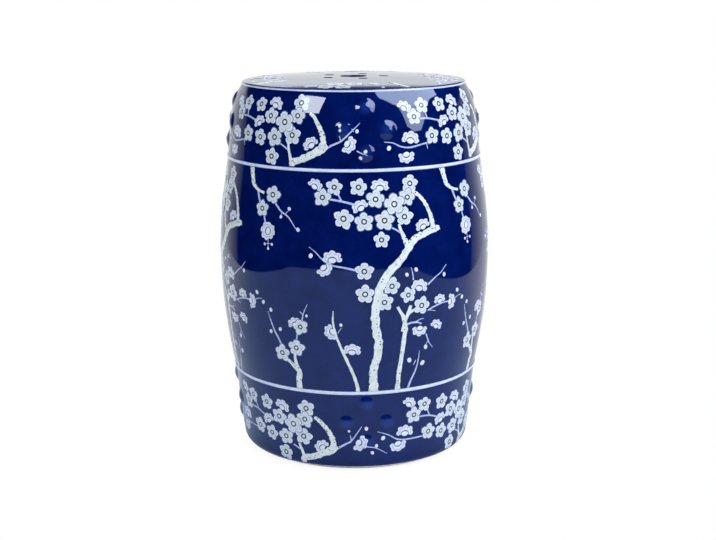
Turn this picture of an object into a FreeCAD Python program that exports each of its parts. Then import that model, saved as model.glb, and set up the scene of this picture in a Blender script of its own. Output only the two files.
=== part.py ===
import FreeCAD, Part
import math
import os

# Ceramic garden stool: a barrel-shaped drum stool of luted leather-hard sections.
# The stool stands on a bare foot ring. A flared base band, a two-part belly and a
# shoulder band are stacked on it, and a crowned, pierced seat closes the top.
# Raised lines cover the joints of the bands, and domed bosses stand in diamonds of
# four on both bands. Lengths are millimetres, +Z is up, and the origin is the centre
# of the foot on the floor.

V = FreeCAD.Vector

# Heights of the sections, from the floor up
foot_reveal = 2.5            # bare foot that shows under the glazed base band
base_band_height = 98.5
lower_belly_height = 144.0
upper_belly_height = 115.4
shoulder_height = 85.4
neck_height = 30.0           # straight top of the upper belly, under its line
shoulder_turn_height = 46.0  # top of the shoulder that rounds inwards
crown_rise = 4.2             # seat's centre above its edge

# Outer radius of the drum at its waist, and how far the wall draws in from there
belly_radius = 165.0
lower_line_draw = 15.0
base_draw = 11.0             # from the lower line to the foot of the base band's flare
neck_draw = 8.0
upper_line_draw = 11.8
turn_draw = 3.7              # from the upper line to where the shoulder turns inwards
rim_draw = 14.7              # from there to the rim
base_corner_radius = 12.2

# Walls and joints
wall = 7.5
seat_thickness = 9.0
bevel_rise = 4.0             # the bevelled joint's rise from the outer to the inner wall
slip_gap = 0.2               # layer of slip round the spigots of the seat and the foot

# Foot ring
foot_inset = 1.5             # foot's edge inside the flat underside of the base band
foot_seat_width = 7.0        # ledge that the base band is luted down on
foot_spigot_width = 8.4      # part that rises inside the base band's mouth
foot_spigot_height = 8.0
foot_bevel = 1.2

# Raised lines
line_width = 4.6
line_depth = 1.2             # groove that the line is laid in
line_height = 1.1            # line's crown above the wall
rim_line_size = 3.1

# Bosses
boss_radius = 10.2
boss_height = 4.5
boss_sides = 16
diamond_half_height = 24.0
diamond_half_angle = 9.2     # degrees round the drum
diamond_count = 4
first_diamond_angle = 5.0    # degrees from the front, towards +X
upper_diamond_rise = 44.1    # diamond's centre above the upper line
lower_diamond_drop = 38.8    # diamond's centre below the lower line

# Piercing of the seat
lift_hole_radius = 15.0
lift_hole_bevel = 2.0
petal_hole_radius = 4.5
petal_hole_count = 5
petal_ring_radius = 36.5

# Levels and radii that follow from the sizes above
lower_line_level = foot_reveal + base_band_height
waist_level = lower_line_level + lower_belly_height
upper_line_level = waist_level + upper_belly_height
rim_level = upper_line_level + shoulder_height
seat_edge_level = rim_level + rim_line_size
lower_line_radius = belly_radius - lower_line_draw
base_radius = lower_line_radius - base_draw
neck_radius = belly_radius - neck_draw
upper_line_radius = belly_radius - upper_line_draw
shoulder_turn_radius = upper_line_radius - turn_draw
rim_radius = shoulder_turn_radius - rim_draw
seat_edge_radius = rim_radius - rim_line_size
seat_spigot_radius = rim_radius - wall - slip_gap
overall_height = seat_edge_level + crown_rise
outside = 2 * belly_radius


def line(start, end):
    return Part.LineSegment(start, end).toShape()


def arc(start, middle, end):
    return Part.Arc(start, middle, end).toShape()


def chain(points):
    return [line(a, b) for a, b in zip(points, points[1:])]


def turned(edges):
    """Solid of revolution about the stool's axis of one closed outline in the XZ plane."""
    outline = Part.Face(Part.Wire(edges))
    return outline.revolve(V(0, 0, 0), V(0, 0, 1), 360)


def turned_polygon(corners):
    points = [V(radius, 0, level) for radius, level in corners]
    return turned(chain(points + points[:1]))


def arc_points(start, direction, end):
    """Three points at the quarters of the arc that leaves start along direction."""
    chord = end - start
    side = V(-direction.z, 0, direction.x).normalize()
    radius = chord.dot(chord) / (2 * chord.dot(side))
    centre = start + side * radius
    middle = centre + ((start + end) * 0.5 - centre).normalize() * abs(radius)
    first = centre + ((start + middle) * 0.5 - centre).normalize() * abs(radius)
    last = centre + ((middle + end) * 0.5 - centre).normalize() * abs(radius)
    return first, middle, last


def halved_arc(start, direction, end):
    """Two edges of one arc that leaves start along direction, parted at its middle."""
    first, middle, last = arc_points(start, direction, end)
    return [arc(start, first, middle), arc(middle, last, end)]


def base_corner():
    """Outer corner between the base band's flat underside and its flare.

    Returns the underside's edge, the corner's middle and the start of the flare.
    """
    lean = math.atan2(lower_line_radius - base_radius, base_band_height)
    flare_there = base_radius + base_corner_radius * math.tan(lean)
    centre_radius = flare_there - base_corner_radius / math.cos(lean)
    centre = V(centre_radius, 0, foot_reveal + base_corner_radius)
    half_turn = (math.pi / 2 + lean) / 2
    underside = centre + V(0, 0, -base_corner_radius)
    middle = centre + V(math.cos(half_turn), 0, -math.sin(half_turn)) * base_corner_radius
    flare = centre + V(math.cos(lean), 0, -math.sin(lean)) * base_corner_radius
    return underside, middle, flare


def wall_stations():
    """Points up the outer wall, from the start of the flare to the rim, by name."""
    lower_line = V(lower_line_radius, 0, lower_line_level)
    waist = V(belly_radius, 0, waist_level)
    neck = V(neck_radius, 0, upper_line_level - neck_height)
    upper_line = V(upper_line_radius, 0, upper_line_level)
    turn = V(shoulder_turn_radius, 0, rim_level - shoulder_turn_height)
    rim = V(rim_radius, 0, rim_level)
    return {
        "flare": base_corner()[2],
        "lower_line": lower_line,
        "lower_bulge": arc_points(waist, V(0, 0, -1), lower_line)[1],
        "waist": waist,
        "upper_bulge": arc_points(waist, V(0, 0, 1), neck)[1],
        "neck": neck,
        "upper_line": upper_line,
        "turn": turn,
        "turn_middle": arc_points(turn, turn - upper_line, rim)[1],
        "rim": rim,
    }


def outer_wall():
    """Edges of the outer wall from the underside's edge to the rim."""
    underside, corner_middle, flare = base_corner()
    at = wall_stations()
    edges = [arc(underside, corner_middle, flare), line(flare, at["lower_line"])]
    edges += reversed(halved_arc(at["waist"], V(0, 0, -1), at["lower_line"]))
    edges += halved_arc(at["waist"], V(0, 0, 1), at["neck"])
    edges += chain([at["neck"], at["upper_line"], at["turn"]])
    edges += halved_arc(at["turn"], at["turn"] - at["upper_line"], at["rim"])
    return edges


def filled_drum():
    """Outer form of the drum, closed by the underside and the rim plane."""
    foot_centre = V(0, 0, foot_reveal)
    rim_centre = V(0, 0, rim_level)
    rim = V(rim_radius, 0, rim_level)
    closing = chain([rim, rim_centre, foot_centre, base_corner()[0]])
    return turned(outer_wall() + closing)


def drum_hollow():
    """Inside of the drum, a wall's thickness in from the outer wall's stations."""
    floor_level = foot_reveal + foot_spigot_height
    at = wall_stations()
    flare_slope = (lower_line_radius - base_radius) / base_band_height
    floor_radius = base_radius + foot_spigot_height * flare_slope - wall
    corners = [(0, floor_level), (floor_radius, floor_level)]
    for name, point in at.items():
        if name != "flare":
            corners.append((point.x - wall, point.z))
    corners.append((0, rim_level))
    return turned_polygon(corners)


def on_wall(level):
    """Point of the outer wall at one level, with the wall's outward normal there."""
    reach = line(V(0, 0, level), V(outside, 0, level))
    for edge in outer_wall():
        distance, pairs, details = edge.distToShape(reach)
        if distance < 1e-6:
            point = pairs[0][0]
            along = edge.tangentAt(edge.Curve.parameter(point))
            if along.z < 0:
                along = along * -1
            return point, V(along.z, 0, -along.x)
    raise ValueError("no wall at level %.1f" % level)


def bevel_levels(level, depth):
    """Levels, on the axis and well outside, of the bevelled joint's cone at one level."""
    slope = bevel_rise / wall
    start = on_wall(level)[0].x - depth
    return level + slope * start, level - slope * (outside - start)


def section_envelope(low, low_depth, high, high_depth):
    """Space between two joints of the wall, each bevelled to rise inwards."""
    if low_depth is None:
        low_axis, low_outside = low, low
    else:
        low_axis, low_outside = bevel_levels(low, low_depth)
    if high_depth is None:
        high_axis, high_outside = high, high
    else:
        high_axis, high_outside = bevel_levels(high, high_depth)
    return turned_polygon([
        (0, low_axis),
        (outside, low_outside),
        (outside, high_outside),
        (0, high_axis),
    ])


def raised_line(level):
    """Raised line over a joint and the V groove that it is laid in."""
    half = line_width / 2
    low = on_wall(level - half)[0]
    high = on_wall(level + half)[0]
    root = on_wall(level)[0].x
    crown = root + line_height
    bottom = (root - line_depth, level)
    ring = turned_polygon([
        bottom,
        (low.x, low.z),
        (crown, level - half / 2),
        (crown, level + half / 2),
        (high.x, high.z),
    ])
    reach = line_height + line_depth
    groove = turned_polygon([
        bottom,
        (low.x, low.z),
        (root + reach, low.z),
        (root + reach, high.z),
        (high.x, high.z),
    ])
    return ring, groove


def rim_line():
    """Rounded line in the corner between the shoulder's rim and the seat's edge."""
    slant = rim_line_size * math.sqrt(0.5)
    return turned_polygon([
        (seat_edge_radius, rim_level),
        (rim_radius, rim_level),
        (seat_edge_radius + slant, rim_level + slant),
        (seat_edge_radius, seat_edge_level),
    ])


def crown_point(radius):
    """Point of the seat's crowned top, a shallow cap of a ball, at one radius."""
    ball = (seat_edge_radius ** 2 + crown_rise ** 2) / (2 * crown_rise)
    return V(radius, 0, overall_height - ball + math.sqrt(ball ** 2 - radius ** 2))


def seat():
    """Crowned disc that rests on the rim and drops into the shoulder, pierced as a blossom."""
    mouth_radius = lift_hole_radius + lift_hole_bevel
    mouth = crown_point(mouth_radius)
    edge = crown_point(seat_edge_radius)
    below = V(0, 0, -seat_thickness)
    sides = chain([
        edge,
        V(seat_edge_radius, 0, rim_level),
        V(seat_spigot_radius, 0, rim_level),
        crown_point(seat_spigot_radius) + below,
        crown_point(lift_hole_radius) + below,
        V(lift_hole_radius, 0, mouth.z - lift_hole_bevel),
        mouth,
    ])
    middle = crown_point((mouth_radius + seat_edge_radius) / 2)
    disc = turned([arc(mouth, middle, edge)] + sides)
    deep = V(0, 0, rim_level - 2 * seat_thickness)
    for petal in range(petal_hole_count):
        angle = 2 * math.pi * petal / petal_hole_count
        place = deep + V(math.cos(angle), math.sin(angle), 0) * petal_ring_radius
        disc = disc.cut(Part.makeCylinder(petal_hole_radius, 4 * seat_thickness, place))
    return disc


def foot_ring(outer, spigot):
    """Bare ring that the stool stands on, with a spigot inside the base band's mouth."""
    inner = spigot - foot_spigot_width
    top = foot_reveal + foot_spigot_height
    return turned_polygon([
        (inner, 0),
        (outer - foot_bevel, 0),
        (outer, foot_bevel),
        (outer, foot_reveal),
        (spigot, foot_reveal),
        (spigot, top),
        (inner, top),
    ])


def boss(level, angle):
    """Domed boss: a many-sided dome whose back is cut to fit the wall it is luted on."""
    ball = (boss_radius ** 2 + boss_height ** 2) / (2 * boss_height)
    lean = math.asin(boss_radius / ball)
    rings = []
    for share in (1.15, 0.66, 0.3):
        radius = ball * math.sin(share * lean)
        height = ball * math.cos(share * lean) - (ball - boss_height)
        corners = []
        for side in range(boss_sides + 1):
            turn = 2 * math.pi * side / boss_sides
            corners.append(V(radius * math.cos(turn), radius * math.sin(turn), height))
        rings.append(Part.makePolygon(corners))
    dome = Part.makeLoft(rings, True, True)
    point, normal = on_wall(level)
    dome.Placement = FreeCAD.Placement(point, FreeCAD.Rotation(V(0, 0, 1), normal))
    dome = dome.cut(drum)
    dome.rotate(V(0, 0, 0), V(0, 0, 1), angle - 90)
    return dome.Solids[0]


def diamonds(middle_level):
    """Bosses in diamonds of four, evenly spaced round the drum."""
    places = [
        (middle_level + diamond_half_height, 0),
        (middle_level, diamond_half_angle),
        (middle_level, -diamond_half_angle),
        (middle_level - diamond_half_height, 0),
    ]
    bosses = []
    for count in range(diamond_count):
        turn = first_diamond_angle + count * 360 / diamond_count
        bosses += [boss(level, turn + aside) for level, aside in places]
    return Part.makeCompound(bosses)


def export(name, shape):
    for solid in shape.Solids:
        if not solid.isValid():
            raise ValueError("%s is not a valid solid" % name)
    shape.exportStep("parts/%s.step" % name)
    print("%-14s %2d solid(s) %10.0f mm3" % (name, len(shape.Solids), shape.Volume))


# The drum's wall, from which the stacked sections are parted at their joints
foot_radius = base_corner()[0].x - foot_inset
mouth_radius = foot_radius - foot_seat_width
mouth = Part.makeCylinder(mouth_radius, foot_spigot_height, V(0, 0, foot_reveal))
lower_ring, lower_groove = raised_line(lower_line_level)
upper_ring, upper_groove = raised_line(upper_line_level)
drum = filled_drum()
drum_wall = drum.cut(drum_hollow()).cut(mouth).cut(lower_groove).cut(upper_groove)

# Each section's lower and upper joint level, with the depth at which its bevel starts
sections = {
    "base_band": (foot_reveal, None, lower_line_level, line_depth),
    "lower_belly": (lower_line_level, line_depth, waist_level, 0),
    "upper_belly": (waist_level, 0, upper_line_level, line_depth),
    "shoulder_band": (upper_line_level, line_depth, rim_level, None),
}

os.makedirs("parts", exist_ok=True)
export("foot_ring", foot_ring(foot_radius, mouth_radius - slip_gap))
for name, joints in sections.items():
    export(name, drum_wall.common(section_envelope(*joints)))
export("seat", seat())
export("lower_line", lower_ring)
export("upper_line", upper_ring)
export("rim_line", rim_line())
export("lower_bosses", diamonds(lower_line_level - lower_diamond_drop))
export("upper_bosses", diamonds(upper_line_level + upper_diamond_rise))
print("overall height %.1f mm, width %.1f mm" % (overall_height, 2 * belly_radius))
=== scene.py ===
import bmesh
import bpy
import numpy as np
from mathutils import Matrix, Vector


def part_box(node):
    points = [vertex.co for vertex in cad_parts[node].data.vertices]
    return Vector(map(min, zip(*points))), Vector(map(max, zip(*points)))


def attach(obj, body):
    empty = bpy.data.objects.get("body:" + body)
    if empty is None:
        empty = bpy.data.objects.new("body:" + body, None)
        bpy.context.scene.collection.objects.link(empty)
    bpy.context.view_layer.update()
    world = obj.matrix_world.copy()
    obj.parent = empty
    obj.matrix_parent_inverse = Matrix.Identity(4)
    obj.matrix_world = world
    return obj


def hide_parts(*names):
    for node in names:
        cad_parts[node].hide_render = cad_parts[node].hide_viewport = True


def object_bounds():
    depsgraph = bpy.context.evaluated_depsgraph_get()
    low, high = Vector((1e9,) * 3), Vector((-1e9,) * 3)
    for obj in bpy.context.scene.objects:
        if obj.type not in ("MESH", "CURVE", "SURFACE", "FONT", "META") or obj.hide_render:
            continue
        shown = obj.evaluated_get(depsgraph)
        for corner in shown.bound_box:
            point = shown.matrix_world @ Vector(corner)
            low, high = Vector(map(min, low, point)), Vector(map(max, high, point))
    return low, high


# Ceramic garden stool in cobalt glaze, with white plum blossom drawn on its three bands and its seat.
# Everything stands in the CAD frame: +Z up, front towards -Y, foot centre at 0,0,0.
# "Round" is an angle in degrees from the front towards +X, "level" a height, "run" a length up the
# wall and "lift" a height above the glaze. Lengths are in millimetres unless a note says otherwise.

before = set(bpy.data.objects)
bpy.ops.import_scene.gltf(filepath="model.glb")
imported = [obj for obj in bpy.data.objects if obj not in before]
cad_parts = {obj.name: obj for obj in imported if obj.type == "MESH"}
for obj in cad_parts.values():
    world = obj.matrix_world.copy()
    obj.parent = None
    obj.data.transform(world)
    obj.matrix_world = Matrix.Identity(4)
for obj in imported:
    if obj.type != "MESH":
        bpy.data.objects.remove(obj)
cadLow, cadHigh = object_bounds()
mm = 0.001
creaseAngle = 38  # degrees, edges sharper than this stay crisp


def linear(hexColour):
    # sRGB hex to the linear colour that sockets take
    parts = np.array([int(hexColour[i:i + 2], 16) for i in (1, 3, 5)]) / 255
    flat = np.where(parts <= 0.04045, parts / 12.92, ((parts + 0.055) / 1.055) ** 2.4)
    return (*flat.tolist(), 1.0)


def addNode(tree, kind, inputs=None, **settings):
    # a shader node with its settings, its input values, and links from other nodes or their sockets
    node = tree.nodes.new("ShaderNode" + kind)
    for name, value in settings.items():
        setattr(node, name, value)
    for name, value in (inputs or {}).items():
        if isinstance(value, bpy.types.Node):
            value = next(socket for socket in value.outputs if socket.enabled)
        if isinstance(value, bpy.types.NodeSocket):
            tree.links.new(value, node.inputs[name])
        else:
            node.inputs[name].default_value = value
    return node


def newMaterial(name):
    # an empty node material and its tree
    material = bpy.data.materials.new(name)
    material.use_nodes = True
    material.node_tree.nodes.clear()
    return material, material.node_tree


def newPiece(name, points, faceSets, materials, node=None, paint=None, thinGlazeAndGlow=None):
    # one mesh from points in mm and arrays of faces, standing for a CAD node if it is given one; paint
    # is each face's material, thinGlazeAndGlow the share at each point by which the glaze has run thin and is
    # lightened by a painted glow
    mesh = bpy.data.meshes.new(name)
    mesh.from_pydata(np.reshape(points, (-1, 3)) * mm, [], sum((faces.tolist() for faces in faceSets), []))
    for material in materials:
        mesh.materials.append(material)
    if paint is not None:
        mesh.polygons.foreach_set("material_index", np.asarray(paint, np.int32))
    if thinGlazeAndGlow is not None:
        layer = mesh.attributes.new("thinGlazeAndGlow", "FLOAT", "POINT")
        layer.data.foreach_set("value", np.ravel(thinGlazeAndGlow).astype(np.float32))
    mesh.validate()
    shell = bmesh.new()
    shell.from_mesh(mesh)
    bmesh.ops.recalc_face_normals(shell, faces=shell.faces)
    shell.to_mesh(mesh)
    shell.free()
    mesh.shade_smooth()
    mesh.set_sharp_from_angle(angle=np.radians(creaseAngle))
    piece = bpy.data.objects.new(name, mesh)
    bpy.context.scene.collection.objects.link(piece)
    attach(piece, "root")
    if node:
        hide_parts(node)


def gridFaces(rows, columns, closedRows=False):
    # quads between neighbouring rows and columns of a grid whose columns close in a ring
    r = np.arange(rows if closedRows else rows - 1)[:, None]
    c = np.arange(columns)[None, :]
    nextRow, nextColumn = (r + 1) % rows, (c + 1) % columns
    quads = [r * columns + c, r * columns + nextColumn,
             nextRow * columns + nextColumn, nextRow * columns + c]
    return np.stack(quads, -1).reshape(-1, 4)


def shellFaces(shells, rows, columns, closedRows=False):
    # the faces of many like shells; rows that don't close in a ring end in one face each
    start = (np.arange(shells) * rows * columns)[:, None]
    quads = gridFaces(rows, columns, closedRows)
    faceSets = [(quads.ravel()[None] + start).reshape(-1, 4)]
    if not closedRows:
        ends = np.stack([np.arange(columns)[::-1], (rows - 1) * columns + np.arange(columns)])
        faceSets.append((ends.ravel()[None] + start).reshape(-1, columns))
    return faceSets


def polar(radius, turn):
    # x and y of points at radii and angles in radians
    return np.stack([radius * np.cos(turn), radius * np.sin(turn)], -1)


# The drum's wall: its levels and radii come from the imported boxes, its curves from the same draws
# as the solids.

wall = {
    "thickness": 7.5,
    "lineRise": 1.1,       # raised line's crown above the wall
    "baseDraw": 11.0,      # base's radius at the foot is this much less than at the lower line
    "cornerRadius": 12.2,  # rounded corner at the foot
    "neckHeight": 30.0,    # straight neck under the upper line
    "neckDraw": 8.0,       # its lower end is this much narrower than the waist
    "turnHeight": 46.0,    # the shoulder turns in over this much under the rim,
    "turnDraw": 3.7,       # after it has drawn in by this from the upper line
    "bevelRise": 4.0,      # joints rise inwards
    "wipedEdge": 3.2,      # glaze wiped off above the foot
    "footWidth": 7.0,      # foot ring, outside to inside
    "insideStart": 1.0,    # the base's inside is worked out from this much over the foot ring
    "arcSteps": 60,        # points on an arc of the profile,
    "cornerSteps": 40,     # and on the foot's corner
    "profileStep": 0.5,    # spacing of the worked-out profile
    "rows": 2.5,           # spacing of the rows that are turned
    "footRows": 1.2,       # of those of the base
    "insideRows": 6.0,     # and of those inside
    "columns": 360,
    "soften": {"base": 1.5, "belly": 9.0, "shoulder": 5.0},  # thrown curves have no kinks
    "bellReach": 4,        # the softening's bell curve ends at this many times its width
}


def boxMm(node):
    # lowest and highest corners of a CAD node
    return np.array([*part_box(node)]) / mm


(_, _, footLevel), _ = boxMm("base_band")
(_, _, waistLevel), (waistRadius, _, _) = boxMm("upper_belly")
(_, _, rimLevel), (rimRadius, _, seatEdgeLevel) = boxMm("rim_line")
seatRadius, _, crownLevel = boxMm("seat")[1]
footRadius, _, footTop = boxMm("foot_ring")[1]
lowerLineLevel, upperLineLevel = (boxMm(node)[:, 2].sum() / 2 for node in ("lower_line", "upper_line"))
lowerLineRadius, upperLineRadius = (boxMm(node)[1][0] - wall["lineRise"]
                                    for node in ("lower_line", "upper_line"))


def arcPoints(start, heading, end):
    # arc leaving start along heading and ending at end: its radius turned about its centre
    start, end, heading = np.array(start), np.array(end), np.array(heading)
    chord = end - start
    side = np.array([-heading[1], heading[0]]) / np.hypot(*heading)
    radius = chord @ chord / (2 * chord @ side)
    centre = start + side * radius
    first = np.arctan2(*(start - centre)[::-1])
    last = np.arctan2(*(end - centre)[::-1])
    swing = (last - first + np.pi) % (2 * np.pi) - np.pi
    return centre + polar(abs(radius), first + swing * np.linspace(0, 1, wall["arcSteps"]))


def softened(points, amount):
    # even steps along the line of points, averaged with a bell curve but held at both ends
    step = wall["profileStep"]
    length = np.r_[0, np.cumsum(np.hypot(*np.diff(points, axis=0).T))]
    even = np.linspace(0, length[-1], int(length[-1] / step) + 1)
    line = np.stack([np.interp(even, length, column) for column in points.T], 1)
    reach = int(wall["bellReach"] * amount / step)
    before = 2 * line[0] - line[reach:0:-1]
    after = 2 * line[-1] - line[-2:-reach - 2:-1]
    bell = np.exp(-0.5 * (np.arange(-reach, reach + 1) * step / amount) ** 2)
    padded = np.concatenate([before, line, after])
    return np.stack([np.convolve(column, bell / bell.sum(), "valid") for column in padded.T], 1)


def wallBands():
    # (radius, level) lines of the three bands, foot to rim
    lowerLine, upperLine = (lowerLineRadius, lowerLineLevel), (upperLineRadius, upperLineLevel)
    lean = np.arctan2(wall["baseDraw"], lowerLineLevel - footLevel)
    corner = wall["cornerRadius"]
    flareThere = lowerLineRadius - wall["baseDraw"] + corner * np.tan(lean)
    centre = np.array([flareThere - corner / np.cos(lean), footLevel + corner])
    turn = np.linspace(-np.pi / 2, -lean, wall["cornerSteps"])
    base = np.concatenate([centre + polar(corner, turn), [lowerLine]])
    waist = (waistRadius, waistLevel)
    neck = (waistRadius - wall["neckDraw"], upperLineLevel - wall["neckHeight"])
    belly = np.concatenate([arcPoints(waist, (0, -1), lowerLine)[::-1],
                            arcPoints(waist, (0, 1), neck)[1:], [upperLine]])
    turnStart = np.array([upperLineRadius - wall["turnDraw"], rimLevel - wall["turnHeight"]])
    shoulder = np.concatenate([[upperLine],
                               arcPoints(turnStart, turnStart - upperLine, (rimRadius, rimLevel))])
    return [softened(line, amount) for line, amount in zip((base, belly, shoulder), wall["soften"].values())]


bands = wallBands()
profile = np.concatenate([bands[0], bands[1][1:], bands[2][1:]])
profileRun = np.r_[0, np.cumsum(np.hypot(*np.diff(profile, axis=0).T))]
slopes = np.concatenate([np.gradient(b, axis=0)[i:] for b, i in zip(bands, (0, 1, 1))])
slopes /= np.hypot(*slopes.T)[:, None]


def runAt(level):
    # length up the wall at a level
    return np.interp(level, profile[:, 1], profileRun)


def onWall(run):
    # radius, level and outward normal (radial, upward) of the wall at lengths up it
    radius, level, across, rise = (np.interp(run, profileRun, column) for column in (*profile.T, *slopes.T))
    return radius, level, rise, -across


# Bosses: domes in diamonds of four, whose height the drawing on them follows.

boss = {
    "radius": 10.2,
    "height": 3.0,
    "fillet": 1.2,         # glaze pooled round the foot
    "reach": 12.6,         # how far out a dome is worked out, past its fillet
    "halfHeight": 24.0,    # diamond's upper and lower boss from its middle, mm
    "halfRound": 9.2,      # and its side ones, degrees
    "firstRound": 5.0,     # the diamond nearest to the front
    "upperRise": 44.1,     # diamonds' middles above the upper line and below the lower one
    "lowerDrop": 38.8,
    "columns": 32,
    "rings": [0.02, *np.linspace(0.1, 0.66, 7), *np.linspace(0.7, 1, 8), 1],  # shares of the reach
    "lifts": (0.015, -1.0),  # of the dome over the wall's glaze, and of its hidden foot
}


def bossCentres(level):
    # (round, run) of the sixteen bosses of one band
    high, wide = boss["halfHeight"], boss["halfRound"]
    places = np.array([[0, high], [wide, 0], [-wide, 0], [0, -high]])
    turns = boss["firstRound"] + 90 * np.arange(4)
    return np.stack([(turns[:, None] + places[:, 0]).ravel(), runAt(np.tile(level + places[:, 1], 4))], 1)


upperBosses = bossCentres(upperLineLevel + boss["upperRise"])
lowerBosses = bossCentres(lowerLineLevel - boss["lowerDrop"])


def domeHeight(distance):
    # cap of a ball, met by the wall in a small fillet: half of cap + root(cap^2 + fillet^2)
    ball = (boss["radius"] ** 2 + boss["height"] ** 2) / (2 * boss["height"])
    cap, edge = (np.sqrt(np.maximum(ball ** 2 - away ** 2, 0)) - (ball - boss["height"])
                 for away in (distance, boss["reach"]))
    height, foot = ((part + np.sqrt(part ** 2 + boss["fillet"] ** 2)) / 2 for part in (cap, edge))
    return np.maximum(height - foot, 0)


def bossLift(turn, run):
    # height of the bosses above the wall at any place on it
    centres = np.concatenate([upperBosses, lowerBosses])
    apart = (np.asarray(turn)[..., None] - centres[:, 0] + 180) % 360 - 180
    across = np.radians(apart) * onWall(centres[:, 1])[0]
    along = np.asarray(run)[..., None] - centres[:, 1]
    return domeHeight(np.hypot(across, along)).max(-1)


def draped(turn, run, lift):
    # points in mm at a lift above the wall and its bosses
    radius, level, outward, upward = onWall(run)
    high = lift + bossLift(turn, run)
    reach = radius + outward * high
    angle = np.radians(turn)
    return np.stack([reach * np.sin(angle), -reach * np.cos(angle), level + upward * high], -1)


# Materials, each named for its real finish.

glaze = {
    "deep": "#000f4a",
    "thin": "#031a60",
    # crest: glaze run thin over the bosses' crowns, with a painted glow of caught light
    "crest": "#122c78",
    "poolSize": 24,        # mm, patches where the glaze ran thicker
    "speckSize": 3.5,      # mm
    "specks": 0.35,        # weight of the specks beside the pools
    "deepUntil": 0.42,     # share of both up to which the glaze is as deep as it gets
    "wobbleSize": 55,      # mm, gentle unevenness of a poured glaze
    "wobbleHeight": 0.05,  # mm
    "roughness": 0.035,
    "index": 1.5,          # refraction of a glassy glaze
}
mottle = (0.35, 0.65)      # span of the noise over which a finish goes from one tone to the other
grainSize = 1.2            # mm, tooth of bare clay, a little coarser than real so that it shows


def pooledGlaze(name, crest=None):
    # glossy glaze on stoneware: colour varies a little where it pooled, surface gently uneven;
    # crest is the colour where it has run thin, made lighter still by a painted glow of light caught in the
    # bosses
    material, tree = newMaterial(name)
    place = addNode(tree, "TexCoord").outputs["Object"]
    pools, specks, wobble = (
        addNode(tree, "TexNoise", {"Vector": place, "Scale": 1 / (glaze[size] * mm), "Detail": detail})
        for size, detail in (("poolSize", 3.0), ("speckSize", 1.0), ("wobbleSize", 1.0)))
    both = addNode(tree, "Math", {0: specks, 1: glaze["specks"], 2: pools}, operation="MULTIPLY_ADD")
    colour = addNode(tree, "ValToRGB", {"Fac": both})
    deep, thin = colour.color_ramp.elements
    deep.position, deep.color = glaze["deepUntil"], linear(glaze["deep"])
    thin.position, thin.color = 1.0, linear(glaze["thin"])
    if crest:
        share = addNode(tree, "Attribute", attribute_name="thinGlazeAndGlow").outputs["Fac"]
        colour = addNode(tree, "Mix", {0: share, 6: colour, 7: linear(crest)}, data_type="RGBA")
    bump = addNode(tree, "Bump", {"Height": wobble, "Strength": 1.0,
                                  "Distance": glaze["wobbleHeight"] * mm})
    shader = addNode(tree, "BsdfPrincipled", {"Base Color": colour, "Roughness": glaze["roughness"],
                                              "IOR": glaze["index"], "Normal": bump})
    addNode(tree, "OutputMaterial", {"Surface": shader})
    return material


def mottledFinish(name, tones, size, roughness, grain=0, specular=0.5):
    # two near tones in soft patches of a size in mm, and a fine grain of a height in mm
    material, tree = newMaterial(name)
    place = addNode(tree, "TexCoord").outputs["Object"]
    patches = addNode(tree, "TexNoise", {"Vector": place, "Scale": 1 / (size * mm), "Detail": 2.0})
    share = addNode(tree, "MapRange", {"Value": patches, "From Min": mottle[0], "From Max": mottle[1]})
    tone = addNode(tree, "Mix", {0: share, 6: linear(tones[0]), 7: linear(tones[1])}, data_type="RGBA")
    finish = {"Base Color": tone, "Roughness": roughness, "IOR": glaze["index"],
              "Specular IOR Level": specular}
    if grain:
        grains = addNode(tree, "TexNoise", {"Vector": place, "Scale": 1 / (grainSize * mm), "Detail": 2.0})
        finish["Normal"] = addNode(tree, "Bump", {"Height": grains, "Strength": 1.0, "Distance": grain * mm})
    shader = addNode(tree, "BsdfPrincipled", finish)
    addNode(tree, "OutputMaterial", {"Surface": shader})
    return material


# cobalt glaze: a deep, very glossy blue that mirrors lamps and floor
cobaltGlaze = pooledGlaze("cobaltGlaze")
# the same glaze on the bosses, a brighter blue over their crowns: glaze run thin there, and a painted glow of
# light caught in the domes
bossGlaze = pooledGlaze("cobaltGlazeOnBosses", glaze["crest"])
# white line under clear glaze, tinted by the cobalt that bleeds into its edges
lineGlaze = mottledFinish("whiteLineGlaze", ("#cdd9f2", "#dfe8f6"), 7, 0.06)
lineBleed = mottledFinish("bluedLineEdge", ("#6c84c4", "#90a3d4"), 3, 0.06)
# unglazed fired clay: pale, dry and slightly warm, with a fine tooth
bareClay = mottledFinish("bareFiredClay", ("#d3ccc2", "#e6e2dc"), 6, 0.75, grain=0.06)
# white slip of the blossoms: milky, cool at the petals' edges and greyer within
slip = {"roughness": 0.08, "specular": 0.25}
slipEdge = mottledFinish("whiteSlipEdge", ("#d2dcf0", "#e0e8f5"), 3, **slip)
slipHeart = mottledFinish("whiteSlipHeart", ("#c9d7dc", "#dbe5e5"), 3, **slip)
# thickest drops of slip: buds' cups and the dots in the rings
slipDot = mottledFinish("whiteSlipDrop", ("#d9e4f2", "#e5edf7"), 2, 0.06, specular=0.25)
# slip of the trunks, a little yellower where it lies thick
slipTrunk = mottledFinish("whiteSlipTrunk", ("#d0dddb", "#e5eeeb"), 5, **slip)
# thin twigs, where the blue shows through the slip
slipTwig = mottledFinish("thinSlipTwig", ("#a2b4e2", "#c4d0ec"), 3, **slip)
# drawn lines: diluted iron-cobalt ink under the glaze
inkSoft = mottledFinish("softInkLine", ("#57697f", "#728396"), 2, 0.1)
inkDark = mottledFinish("darkInkLine", ("#142340", "#213351"), 2, 0.1)
print("materials made")

# The glazed walls, one closed ring for each solid.


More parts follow.
